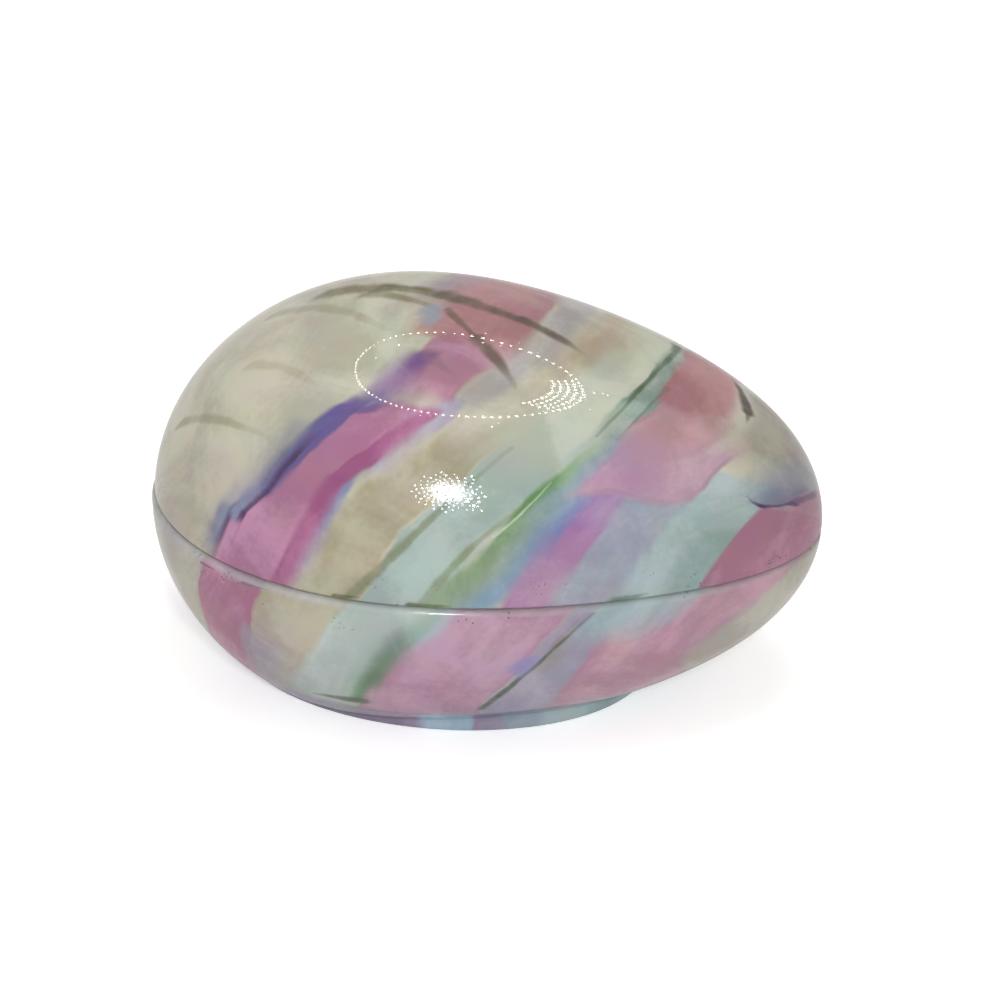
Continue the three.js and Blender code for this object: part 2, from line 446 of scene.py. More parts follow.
LID_GROUND = ("c0bba9", "a9a594")
LID_WASHES = [
    # Cream, tan and mint at the blunt end, in the middle and over the top
    Wash("blunt", "b0a598", "9d9085", (-75, LOST), (-50, LOST), (-20, LOST), (26, LOST), 0.45),
    Wash("blunt", "b9bba6", "a1a48d", (-62, HAZY), (-48, HAZY), (20, LOST), (60, LOST), 0.45),
    Wash("blunt", "aca48d", "958d76", (-32, LOOSE), (-19.5, SOFT), (-20, LOST), (27, LOST)),
    Wash("blunt", "b0a389", "9a8b70", (-27, HAZY), (-17, HAZY), (42, LOST), (80, LOST), 0.75),
    Wash("blunt", "a3b3b1", "8e9f9c", (-19, FIRM), (-5.5, LOOSE), (-20, LOST), (30, LOST)),
    Wash("blunt", "b9beac", "a6ac9b", (-22, HAZY), (-9, HAZY), (26, LOST), (72, LOST), 0.8),
    # The pink band nearest to the blunt end, which turns to rose over the top, warmed there in part by
    # painted warm light from above
    Wash("steady", "8f93b4", "6f76a0", (-34, SOFT), (-30.8, SOFT), (4, HAZY), (21, HAZY), 0.85),
    Wash("blunt", "a39cb0", "8a839c", (-36.5, SOFT), (-31.6, LOOSE), (22, HAZY), (35, HAZY), 0.85),
    Wash("blunt", "9a9c9c", "84878a", (-56.5, LOOSE), (-49, SOFT), (10, HAZY), (30, HAZY), 0.75),
    Wash("steady", "b5829f", "9a6583", (-50.4, CRISP), (-40, LOST), (-20, HAZY), (13, SOFT), 0.95, 0.6),
    Wash("steady", "b5829f", "9a6583", (-41, LOST), (-32.4, SOFT), (-20, HAZY), (21, LOOSE), 0.95, 0.5),
    Wash("blunt", "b5829f", "9a6583", (-48.4, FIRM), (-35, SOFT), (-20, LOOSE), (32, FIRM), 0.95, 0.5),
    # Rose over the top: the pink warmed in part as painted warm light from above
    Wash("blunt", "ad7f92", "97677d", (-47.5, SOFT), (-34, LOOSE), (34, LOOSE), (48, HAZY), 0.92, 0.4),
    Wash("blunt", "ad7c80", "94646a", (-53, LOOSE), (-34.5, SOFT), (46, LOOSE), (140, HAZY), 0.92, 0.5),
    Wash("steady", "8f7c8c", "7a6878", (-51, LOOSE), (-45.4, LOOSE), (57, HAZY), (78, LOST), 0.75),
    Wash("steady", "9f5f87", "874570", (-36, FIRM), (-32.6, SOFT), (-20, HAZY), (21, LOOSE), 0.8, 0.5),
    Wash("blunt", "9f5f87", "874570", (-38, FIRM), (-34.6, SOFT), (20, LOOSE), (32, LOOSE), 0.75, 0.4),
    Wash("steady", "7b8399", "565a6c", (-53.6, SOFT), (-50.2, FIRM), (2, HAZY), (14, LOOSE), 0.92, 1),
    Wash("blunt", "7b8399", "565a6c", (-52.6, SOFT), (-48, FIRM), (12, LOOSE), (24, HAZY), 0.92, 1),
    Wash("blunt", "736a94", "585081", (-51.2, LOOSE), (-46.4, FIRM), (17, LOOSE), (33, SOFT), 0.92, 0.8),
    Wash("blunt", "756a94", "5d4f80", (-50.5, LOOSE), (-43.8, LOOSE), (30.6, FIRM), (34, LOOSE), 0.8, 0.7),
    Wash("steady", "603f66", "46304e", (-51, FIRM), (-49.9, CRISP), (2, HAZY), (12, LOOSE), 0.8),
    Wash("blunt", "603f66", "46304e", (-49.4, FIRM), (-47.8, CRISP), (12, LOOSE), (26, HAZY), 0.85),
    Wash("steady", "7d5f8e", "63487c", (-40.2, LOOSE), (-34.8, LOOSE), (34.5, LOOSE), (42.5, SOFT), 0.88),
    Wash("blunt", "a09ba4", "88828a", (-33.5, LOOSE), (-28.5, LOOSE), (34, LOST), (80, LOST), 0.6),
    # The green edge and the blue beside it
    Wash("point", "98a49b", "6f8276", (-10.8, CRISP), (-5.6, SOFT), (28, HAZY), (68, HAZY), 0.95, 0.5),
    Wash("point", "8ba6b6", "7490a6", (-5.5, LOOSE), (1.5, SOFT), (-20, HAZY), (28, HAZY)),
    Wash("point", "879a7c", "6d8663", (-10, FIRM), (-4.6, LOOSE), (-20, HAZY), (16, HAZY), 0.9, 0.3),
    Wash("point", "7f9c6c", "587e42", (-9.4, CRISP), (-6.8, SOFT), (12, HAZY), (27, LOOSE), 0.92, 0.4),
    Wash("point", "7f9b97", "688783", (-7.4, SOFT), (-3.8, SOFT), (15, HAZY), (30, HAZY), 0.85),
    # Lavender, mint, pink and rose of the middle band
    Wash("steady", "9d9fae", "8a8d9c", (8, SOFT), (18.6, SOFT), (-20, LOST), (20.5, SOFT)),
    Wash("steady", "aab6b9", "8fa09f", (17, FIRM), (27.6, FIRM), (-20, LOST), (29, SOFT)),
    Wash("steady", "8fa39f", "7a908b", (21.6, LOOSE), (28, SOFT), (-20, LOST), (15, HAZY), 0.8),
    # Greyer tan over the top towards the pointed end, darkened in part as painted shade
    Wash("point", "988f85", "827a70", (7, LOOSE), (20, HAZY), (34, LOST), (100, LOST), 0.8),
    Wash("steady", "8388b4", "6a72a0", (2.4, LOOSE), (6.5, SOFT), (7, LOOSE), (25, LOOSE), 0.88, 0.5),
    Wash("steady", "b189ab", "9b7296", (2.4, FIRM), (8.8, SOFT), (-20, HAZY), (11, HAZY), 0.92, 0.4),
    Wash("steady", "b189ab", "9b7296", (4.6, FIRM), (9.4, SOFT), (7, HAZY), (16, HAZY), 0.92, 0.4),
    Wash("steady", "a582ab", "8b6a98", (4.4, LOOSE), (9, LOOSE), (14, HAZY), (25, LOOSE), 0.9, 0.4),
    Wash("point", "a09fb6", "8886a4", (-6.4, SOFT), (-2.5, SOFT), (22, HAZY), (38, LOST), 0.8),
    Wash("point", "b997a8", "a38296", (-4.7, FIRM), (10.5, CRISP), (20.5, FIRM), (36, HAZY), 0.92, 0.9),
    # Rose where this pink turns over the top: the pink warmed in part as painted warm light from above
    Wash("point", "b78f95", "a17a80", (-5.8, CRISP), (6.2, FIRM), (33, HAZY), (44, HAZY), 0.92, 0.6),
    Wash("point", "ad797e", "946268", (-7.5, FIRM), (4.4, SOFT), (42, HAZY), (140, LOOSE), 0.92, 0.5),
    # The pointed end
    Wash("steady", "b07c93", "97637b", (26.7, CRISP), (80, LOST), (-20, LOST), (22.4, FIRM), 0.95, 0.6),
    Wash("steady", "ad8592", "966d7d", (28.8, FIRM), (80, LOST), (18, HAZY), (60, LOST), 0.9),
    Wash("steady", "a2a6a8", "858a98", (23.4, HAZY), (28.8, CRISP), (23.5, LOOSE), (64, LOST), 0.6, 0.2),
    Wash("steady", "857c96", "54496e", (26, HAZY), (28.9, CRISP), (22.6, CRISP), (35, LOST), 0.8, 0.9),
    # The back
    Wash("blunt", "ab7a95", "91607b", (-76, FIRM), (-62, SOFT), (82, HAZY), (140, LOST), 0.92, 0.5),
    Wash("blunt", "848a9c", "666980", (-79, SOFT), (-75, FIRM), (84, HAZY), (140, LOST), 0.92, 0.8),
    Wash("blunt", "afc3c0", "98acaa", (-92, LOOSE), (-82, SOFT), (84, LOST), (140, LOST)),
    Wash("blunt", "a3b3b5", "8e9fa0", (-30, SOFT), (-19, LOOSE), (80, LOST), (140, LOST)),
    Wash("blunt", "98a890", "768c6a", (-19.5, CRISP), (-15, LOOSE), (78, LOST), (140, LOST), 0.9, 0.6),
]
BASE_GROUND = ("b6b1a4", "a09a8e")
BASE_WASHES = [
    # Tan, mint and pink of the front, from the blunt end
    Wash("lean", "b2ac98", "9e9682", (-38, SOFT), (-21.5, SOFT), (-24, HAZY), (20, LOST)),
    Wash("blunt", "b9c3bd", "a2b0ac", (-21, SOFT), (-8.4, FIRM), (-27, LOOSE), (20, LOST)),
    Wash("blunt", "a5acbd", "8e95aa", (-8.5, SOFT), (-3.5, SOFT), (-12, HAZY), (20, LOST), 0.85),
    Wash("lean", "b57f98", "9a627b", (-53, FIRM), (-37.4, FIRM), (-60, LOST), (20, LOST), 0.95, 0.5),
    Wash("lean", "a59ca5", "908692", (-40, LOOSE), (-29, LOST), (-60, LOST), (-12, LOST), 0.8),
    Wash("steady", "78a080", "55805c", (-9.4, LOOSE), (-5.2, FIRM), (-24.5, FIRM), (-4, LOST), 0.95, 0.2),
    Wash("steady", "5f7f63", "41603f", (-9, SOFT), (-7, SOFT), (-24, SOFT), (-9, LOST), 0.6, 0.3),
    Wash("blunt", "b993a9", "a0798f", (-4.8, SOFT), (12.6, FIRM), (-60, LOST), (20, LOST), 0.92, 0.5),
    Wash("steady", "b993a9", "a0798f", (-7.4, FIRM), (4, LOST), (-60, LOST), (-17.5, HAZY), 0.92, 0.5),
    Wash("blunt", "a89fb0", "918b9f", (12.8, FIRM), (22.4, SOFT), (-60, LOST), (20, LOST)),
    Wash("blunt", "938f7e", "7c7866", (14.2, CRISP), (17, LOOSE), (-14, LOOSE), (-2, LOOSE), 0.6),
    Wash("blunt", "c096a5", "a67d8f", (21, FIRM), (35, FIRM), (-60, LOST), (20, LOST), 0.92, 0.7),
    Wash("steady", "a4b6ba", "8ea2a8", (15.6, FIRM), (27.6, LOOSE), (-7.5, HAZY), (20, LOST), 0.9),
    # The back
    Wash("blunt", "ab7a95", "91607b", (-76, FIRM), (-62, SOFT), (-140, LOST), (-66, LOST), 0.92, 0.5),
    Wash("blunt", "848a9c", "666980", (-79, SOFT), (-75, FIRM), (-140, LOST), (-66, LOST), 0.92, 0.8),
    Wash("blunt", "afc3c0", "98acaa", (-92, LOOSE), (-82, SOFT), (-140, LOST), (-60, LOST)),
    Wash("blunt", "b38386", "9a6a6e", (-53, FIRM), (-34.5, SOFT), (-140, LOST), (-72, LOST), 0.92, 0.5),
    Wash("blunt", "a3b3b5", "8e9fa0", (-30, SOFT), (-19, LOOSE), (-140, LOST), (-72, LOST)),
    Wash("blunt", "98a890", "768c6a", (-19.5, CRISP), (-15, LOOSE), (-140, LOST), (-78, LOST), 0.9, 0.6),
    Wash("blunt", "b98489", "9f6c72", (-7.5, FIRM), (4.4, SOFT), (-140, LOST), (-72, LOST), 0.92, 0.5),
    # The foot and the rim
    Wash("foot", "9d95a8", "82798f", (-60, LOST), (60, LOST), (-5, SOFT), (4.8, FIRM), 0.85),
    Wash("foot", "acc0ce", "94aabb", (-9, LOOSE), (0, SOFT), (-5, SOFT), (4.4, SOFT), 0.95),
    Wash("foot", "95a2ae", "818e9c", (5, SOFT), (13, LOOSE), (-5, SOFT), (4.4, SOFT), 0.9),
    Wash("foot", "a8babd", "90a4a8", (11, LOOSE), (40, LOOSE), (-5, SOFT), (4.4, SOFT), 0.95),
    Wash("rim", "b9c3bd", "a3aea7", (-200, LOST), (200, LOST), (-0.9, CRISP), (20, LOST), 0.3),
    Wash("rim", "bab6bc", "a39ea6", (-100, LOST), (-22, HAZY), (-1.2, CRISP), (20, LOST), 0.5),
]

LID_STROKES = [
    # Olive and green lines beside the mint band, and a painted highlight along the green's left edge
    Stroke("737a5c", 0.75, (-21.8, 0.0), (-11.6, 27.0), 3.0, 1.9),
    # A pale line along the bright green's left edge: a painted highlight
    Stroke("c6d0bb", 0.65, (-4.6, 12.5), (-2.6, 22.0), 2.0, 0.6),
    Stroke("78805c", 0.70, (-10.0, -1.0), (-3.4, 18.0), -3.0, 1.8),
    Stroke("4c5a42", 0.85, (-8.4, 66.0), (-2.3, 31.0), -5.6, 1.1),
    Stroke("5b6a58", 0.55, (0.0, 46.0), (0.8, 31.0), -1.0, 0.7),
    # Purple line where the pointed end's washes meet
    Stroke("4a3358", 0.85, (29.2, 25.4), (23.8, 24.4), -10.0, 1.3),
    Stroke("5a4668", 0.70, (29.2, 24.8), (28.8, 44.0), 2.5, 1.0),
    # Twigs over the blunt end and the top
    Stroke("8f8a72", 0.55, (-72.0, 60.8), (-46.5, 47.2), 0.0, 1.6),
    Stroke("8f8a72", 0.35, (-66.0, 44.8), (-49.0, 36.4), -1.0, 1.4),
    Stroke("8f8a72", 0.60, (-74.0, 40.0), (-51.0, 27.2), 3.0, 1.6),
    Stroke("625a37", 0.92, (-66.0, 61.8), (-42.0, 56.0), -2.0, 3.2),
    Stroke("6f6745", 0.70, (-58.0, 58.2), (-43.0, 52.8), -1.0, 1.8),
    Stroke("868d9c", 0.92, (-44.0, 52.6), (-40.8, 48.4), 0.0, 3.0),
    Stroke("5a4d40", 0.85, (-46.0, 57.8), (-22.0, 50.6), -1.0, 2.1),
    Stroke("5a4d40", 0.75, (-30.0, 53.3), (-15.5, 48.0), -1.0, 1.5),
    Stroke("5a4d40", 0.70, (-42.0, 53.2), (-29.0, 44.8), 1.0, 1.0),
    Stroke("5a4d40", 0.72, (-32.5, 46.8), (-19.0, 37.6), -1.0, 1.4),
    Stroke("7f5f6c", 0.55, (-37.0, 42.4), (-29.0, 38.6), 1.0, 1.4),
    Stroke("52493e", 0.90, (11.9, 51.0), (2.6, 67.0), 1.5, 1.7),
    Stroke("52493e", 0.60, (11.7, 52.0), (13.6, 46.0), 0.0, 1.0),
    # Touches at the seam
    Stroke("4f5635", 0.75, (-24.0, 0.6), (-19.5, 1.0), 0.0, 0.8),
    Stroke("4f5635", 0.75, (-11.5, 0.7), (-5.0, 0.8), 0.0, 0.8),
    Stroke("556554", 0.75, (17.4, 0.8), (20.6, 1.6), 0.0, 1.4),
]
BASE_STROKES = [
    # Twigs beside the green and the pink, and touches at the seam
    Stroke("4a5645", 0.75, (-6.8, -23.4), (-16.0, -25.4), 1.5, 2.0),
    Stroke("4a5140", 0.80, (12.0, -24.5), (15.8, -1.5), 2.0, 1.0),
    Stroke("8a83aa", 0.90, (12.7, -11.2), (14.0, -14.4), 0.0, 2.6),
    Stroke("66455c", 0.70, (-52.0, -1.9), (-48.0, -1.6), 0.0, 0.6),
    Stroke("704e64", 0.60, (-41.0, -1.6), (-35.5, -1.2), 0.0, 0.6),
]


# Each edge of a wash, with the two values whose difference says how far inside it a place lies
EDGES = {
    "Left": ("Across", "Left"),
    "Right": ("Right", "Across"),
    "Low": ("Girth", "Low"),
    "High": ("High", "Girth"),
}


def wash_group():
    """One wash of thinned colour over what lies under it, with pigment pooled inside its crisp edges."""
    fades = [edge + " Fade" for edge in EDGES]
    numbers = ["Thickness", "Strength", "Pool", "Softness", "Across", "Girth", *EDGES, *fades]
    tree = new_group("wash", ["Under", "Thin", "Thick"], numbers, [], "Painted")
    given = add(tree, "NodeGroupInput").outputs
    covers = []
    pools = []
    for edge, (far, near) in EDGES.items():
        fade = given[edge + " Fade"]
        inside = add(tree, "ShaderNodeMath", {0: given[far], 1: given[near]}, operation="SUBTRACT")
        soft = add(tree, "ShaderNodeMath", {0: fade, 1: given["Softness"]}, operation="MULTIPLY")
        share = add(tree, "ShaderNodeMath", {0: inside, 1: soft}, operation="DIVIDE")
        cover = add(tree, "ShaderNodeMapRange", {0: share, **EDGE_RANGE}, **SMOOTH)
        line = add(tree, "ShaderNodeMapRange", {0: inside, **POOL_RANGE}, **SMOOTH)
        crisp = add(tree, "ShaderNodeMath", {0: line, 1: soft}, operation="DIVIDE")
        covers.append(cover)
        pools.append(crisp)
    cover, *other_covers = covers
    pool, *other_pools = pools
    for other_cover, other_pool in zip(other_covers, other_pools):
        cover = add(tree, "ShaderNodeMath", {0: cover, 1: other_cover}, operation="MULTIPLY")
        pool = add(tree, "ShaderNodeMath", {0: pool, 1: other_pool}, operation="MAXIMUM")
    pooled = add(
        tree,
        "ShaderNodeMath",
        {0: pool, 1: given["Pool"], 2: given["Thickness"]},
        operation="MULTIPLY_ADD",
    )
    pigment = add(
        tree,
        "ShaderNodeMix",
        {0: pooled, FIRST_COLOUR: given["Thin"], SECOND_COLOUR: given["Thick"]},
        data_type="RGBA",
    )
    laid = add(tree, "ShaderNodeMath", {0: cover, 1: given["Strength"]}, operation="MULTIPLY")
    painted = add(
        tree,
        "ShaderNodeMix",
        {0: laid, FIRST_COLOUR: given["Under"], SECOND_COLOUR: pigment.outputs[MIXED_COLOUR]},
        data_type="RGBA",
    )
    add(tree, "NodeGroupOutput", {"Painted": painted.outputs[MIXED_COLOUR]})
    return tree


def stroke_group():
    """One stroke of a loaded brush from start to end, bowed by its bend and thinning to a point."""
    tree = new_group(
        "brush_stroke",
        ["Under", "Colour"],
        ["Strength", "Bend", "Width", "Grain"],
        ["Place", "Start", "End"],
        "Painted",
    )
    given = add(tree, "NodeGroupInput").outputs
    run = add(tree, "ShaderNodeVectorMath", {0: given["End"], 1: given["Start"]}, operation="SUBTRACT")
    reach = add(tree, "ShaderNodeVectorMath", {0: given["Place"], 1: given["Start"]}, operation="SUBTRACT")
    along = add(tree, "ShaderNodeVectorMath", {0: reach, 1: run}, operation="DOT_PRODUCT")
    whole = add(tree, "ShaderNodeVectorMath", {0: run, 1: run}, operation="DOT_PRODUCT")
    share = add(
        tree,
        "ShaderNodeMath",
        {0: along.outputs["Value"], 1: whole.outputs["Value"]},
        operation="DIVIDE",
    )
    share = add(tree, "ShaderNodeMath", {0: share, 1: 0.0}, operation="MAXIMUM")
    share = add(tree, "ShaderNodeMath", {0: share, 1: 1.0}, operation="MINIMUM")
    rest = add(tree, "ShaderNodeMath", {0: 1.0, 1: share}, operation="SUBTRACT")
    hump = add(tree, "ShaderNodeMath", {0: share, 1: rest}, operation="MULTIPLY")
    bow = add(tree, "ShaderNodeMath", {0: hump, 1: given["Bend"]}, operation="MULTIPLY")
    side = add(tree, "ShaderNodeVectorMath", {0: run, 1: (0, 0, 1)}, operation="CROSS_PRODUCT")
    side = add(tree, "ShaderNodeVectorMath", {0: side}, operation="NORMALIZE")
    bowed = add(tree, "ShaderNodeVectorMath", {0: side, "Scale": bow}, operation="SCALE")
    straight = add(tree, "ShaderNodeVectorMath", {0: run, "Scale": share}, operation="SCALE")
    spine = add(tree, "ShaderNodeVectorMath", {0: straight, 1: bowed}, operation="ADD")
    away = add(tree, "ShaderNodeVectorMath", {0: reach, 1: spine}, operation="DISTANCE")
    taper = add(tree, "ShaderNodeMapRange", {0: share, 3: 1.0, 4: THIN_END}, clamp=False)
    width = add(tree, "ShaderNodeMath", {0: given["Width"], 1: taper}, operation="MULTIPLY")
    width = add(tree, "ShaderNodeMath", {0: width, 1: given["Grain"]}, operation="MULTIPLY")
    core = add(tree, "ShaderNodeMath", {0: width, 1: FIRM_CORE}, operation="MULTIPLY")
    cover = add(
        tree,
        "ShaderNodeMapRange",
        {0: away.outputs["Value"], 1: core, 2: width, 3: 1.0, 4: 0.0},
        **SMOOTH,
    )
    lift = add(tree, "ShaderNodeMapRange", {0: share, **LIFT_RANGE}, **SMOOTH)
    laid = add(tree, "ShaderNodeMath", {0: cover, 1: given["Strength"]}, operation="MULTIPLY")
    laid = add(tree, "ShaderNodeMath", {0: laid, 1: lift}, operation="MULTIPLY")
    laid = add(tree, "ShaderNodeMath", {0: laid, 1: given["Grain"]}, operation="MULTIPLY")
    painted = add(
        tree,
        "ShaderNodeMix",
        {0: laid, FIRST_COLOUR: given["Under"], SECOND_COLOUR: given["Colour"]},
        data_type="RGBA",
    )
    add(tree, "NodeGroupOutput", {"Painted": painted.outputs[MIXED_COLOUR]})
    return tree


def paint_charts(tree, up):
    """Charts that the painter worked on, in mm across the bands and round the egg, with an unsteady hand."""
    place = add(tree, "ShaderNodeTexCoord").outputs["Object"]
    place = add(
        tree,
        "ShaderNodeMapping",
        {"Vector": place, "Location": (0, 0, -SEAM_HEIGHT / MM), "Scale": (1 / MM, 1 / MM, 1 / MM)},
    )
    apart = add(tree, "ShaderNodeSeparateXYZ", {0: place}).outputs
    slant = add(tree, "ShaderNodeVectorMath", {0: place, 1: (1, -SLANT_BACK, -up)}, operation="DOT_PRODUCT")
    start = SLANT_BACK * GIRTH_RADIUS
    slant = add(tree, "ShaderNodeMath", {0: slant.outputs["Value"], 1: start}, operation="SUBTRACT")
    front = add(tree, "ShaderNodeMath", {0: apart["Y"], 1: -1}, operation="MULTIPLY")
    angle = add(tree, "ShaderNodeMath", {0: apart["Z"], 1: front}, operation="ARCTAN2")
    girth = add(tree, "ShaderNodeMath", {0: angle, 1: GIRTH_RADIUS}, operation="MULTIPLY")

    shake = add(
        tree,
        "ShaderNodeTexNoise",
        {"Vector": place, "Scale": 1 / WAVER, "Detail": 4, "Roughness": 0.45},
    ).outputs["Color"]
    shake = add(tree, "ShaderNodeVectorMath", {0: shake, 1: MEAN_COLOUR}, operation="SUBTRACT")
    shake = add(tree, "ShaderNodeVectorMath", {0: shake, "Scale": WAVER_SIZE}, operation="SCALE")
    shakes = add(tree, "ShaderNodeSeparateXYZ", {0: shake}).outputs
    unsteady = add(tree, "ShaderNodeMath", {0: girth, 1: shakes["Z"]}, operation="ADD")

    charts = {}
    for (name, (level, reach, size)), axis in zip(SWINGS.items(), "XY"):
        off = add(tree, "ShaderNodeMath", {0: girth, 1: level}, operation="SUBTRACT")
        off = add(tree, "ShaderNodeMath", {0: off, 1: reach}, operation="DIVIDE")
        square = add(tree, "ShaderNodeMath", {0: off, 1: off}, operation="MULTIPLY")
        bow = add(tree, "ShaderNodeMath", {0: 1.0, 1: square}, operation="SUBTRACT")
        bow = add(tree, "ShaderNodeMath", {0: bow, 1: 0.0}, operation="MAXIMUM")
        bow = add(tree, "ShaderNodeMath", {0: bow, 1: size}, operation="MULTIPLY")
        across = add(tree, "ShaderNodeMath", {0: slant, 1: bow}, operation="SUBTRACT")
        across = add(tree, "ShaderNodeMath", {0: across, 1: shakes[axis]}, operation="ADD")
        charts[name] = (across, unsteady)
    across, level = charts["blunt"]
    leaning = add(tree, "ShaderNodeMath", {0: girth, 1: BLUNT_LEAN, 2: across}, operation="MULTIPLY_ADD")
    charts["lean"] = (leaning, level)
    height = add(tree, "ShaderNodeMath", {0: apart["Z"], 1: SEAM_HEIGHT / MM}, operation="ADD")
    ragged = add(
        tree,
        "ShaderNodeMath",
        {0: shakes["X"], 1: RIM_RAG, 2: apart["Z"]},
        operation="MULTIPLY_ADD",
    )
    astray = add(tree, "ShaderNodeMath", {0: apart["X"], 1: shakes["Y"]}, operation="ADD")
    charts["foot"] = (astray, height)
    charts["rim"] = (apart["X"], ragged)
    steady = add(tree, "ShaderNodeCombineXYZ", {0: slant, 1: girth})
    tremble = add(tree, "ShaderNodeVectorMath", {0: shake, "Scale": TREMBLE}, operation="SCALE")
    steady = add(tree, "ShaderNodeVectorMath", {0: steady, 1: tremble}, operation="ADD")
    steady = add(tree, "ShaderNodeVectorMath", {0: steady, 1: (1, 1, 0)}, operation="MULTIPLY")
    parts = add(tree, "ShaderNodeSeparateXYZ", {0: steady}).outputs
    charts["steady"] = (parts["X"], parts["Y"])
    return place, charts, steady


def painted_porcelain(half, up, ground, washes, strokes):
    """Painted porcelain under glossy glaze: pooled watery pigment and a sharp clear gloss."""
    material = new_material("painted_porcelain_" + half)
    tree = material.node_tree
    place, charts, stroke_chart = paint_charts(tree, up)

    cloud = add(
        tree,
        "ShaderNodeTexNoise",
        {"Vector": place, "Scale": 1 / CLOUD, "Detail": 5, "Roughness": 0.55, "Distortion": 0.5},
    )
    across, girth = charts["blunt"]
    brush = add(tree, "ShaderNodeCombineXYZ", {0: across, 1: girth})
    brush = add(
        tree,
        "ShaderNodeVectorMath",
        {0: brush, 1: (1 / HAIR_WIDTH, 1 / HAIR_LENGTH, 0)},
        operation="MULTIPLY",
    )
    hairs = add(tree, "ShaderNodeTexNoise", {"Vector": brush, "Scale": 1.0, "Detail": 2})
    uneven = add(tree, "ShaderNodeMath", {0: hairs, 1: HAIR_WEIGHT, 2: cloud}, operation="MULTIPLY_ADD")
    granules = add(tree, "ShaderNodeTexNoise", {"Vector": place, "Scale": 1 / GRANULE, "Detail": 2})
    uneven = add(
        tree,
        "ShaderNodeMath",
        {0: granules, 1: GRANULE_WEIGHT, 2: uneven},
        operation="MULTIPLY_ADD",
    )
    thickness = add(tree, "ShaderNodeMapRange", {0: uneven, **THICKNESS_RANGE}, **SMOOTH)
    drift = add(tree, "ShaderNodeTexNoise", {"Vector": place, "Scale": 1 / DRIFT, "Detail": 1})
    softness = add(tree, "ShaderNodeMapRange", {0: drift, **SOFTNESS_RANGE}, **SMOOTH)
    grit = add(tree, "ShaderNodeTexNoise", {"Vector": place, "Scale": 1 / GRIT, "Detail": 3})
    grain = add(tree, "ShaderNodeMapRange", {0: grit, **GRAIN_RANGE}, **SMOOTH)

    colour = add(
        tree,
        "ShaderNodeMix",
        {0: thickness, FIRST_COLOUR: linear(ground[0]), SECOND_COLOUR: linear(ground[1])},
        data_type="RGBA",
    ).outputs[MIXED_COLOUR]
    for wash in washes:
        across, girth = charts[wash.chart]
        inputs = {
            "Under": colour,
            "Thin": linear(wash.thin),
            "Thick": linear(wash.thick),
            "Thickness": thickness,
            "Strength": wash.strength,
            "Pool": wash.pool,
            "Softness": softness,
            "Across": across,
            "Girth": girth,
        }
        for edge in EDGES:
            inputs[edge], inputs[edge + " Fade"] = getattr(wash, edge.lower())
        colour = add(tree, "ShaderNodeGroup", inputs, node_tree=wash_nodes)
    for stroke in strokes:
        inputs = {
            "Under": colour,
            "Colour": linear(stroke.colour),
            "Strength": stroke.strength,
            "Bend": stroke.bend,
            "Width": stroke.width,
            "Grain": grain,
            "Place": stroke_chart,
            "Start": (*stroke.start, 0),
            "End": (*stroke.end, 0),
        }
        colour = add(tree, "ShaderNodeGroup", inputs, node_tree=stroke_nodes)

    # Faint drifts of other tints, as one pigment bleeds into the next
    bleed = add(tree, "ShaderNodeTexNoise", {"Vector": place, "Scale": 1 / BLEED, "Detail": 3})
    colour = add(
        tree,
        "ShaderNodeMix",
        {0: BLEED_SHARE, FIRST_COLOUR: colour, SECOND_COLOUR: bleed.outputs["Color"]},
        data_type="RGBA",
        blend_type="SOFT_LIGHT",
    ).outputs[MIXED_COLOUR]

    # Pinholes where the glaze drew back, in small clusters close to the seam
    apart = add(tree, "ShaderNodeSeparateXYZ", {0: place}).outputs
    rise = add(tree, "ShaderNodeMath", {0: apart["Z"]}, operation="ABSOLUTE")
    near = add(tree, "ShaderNodeMapRange", {0: rise, **SEAM_RANGE})
    cluster = add(tree, "ShaderNodeTexNoise", {"Vector": place, "Scale": 1 / PINHOLE_CLUSTER, "Detail": 1})
    cluster = add(tree, "ShaderNodeMapRange", {0: cluster, **CLUSTER_RANGE})
    cells = add(tree, "ShaderNodeTexVoronoi", {"Vector": place, "Scale": 1 / PINHOLE_SPACING})
    hole = add(tree, "ShaderNodeMapRange", {0: cells.outputs["Distance"], **PINHOLE_RANGE})
    holes = add(tree, "ShaderNodeMath", {0: hole, 1: near}, operation="MULTIPLY")
    holes = add(tree, "ShaderNodeMath", {0: holes, 1: cluster}, operation="MULTIPLY")
    colour = add(
        tree,
        "ShaderNodeMix",
        {0: holes, FIRST_COLOUR: colour, SECOND_COLOUR: linear(PINHOLE_COLOUR)},
        data_type="RGBA",
    ).outputs[MIXED_COLOUR]

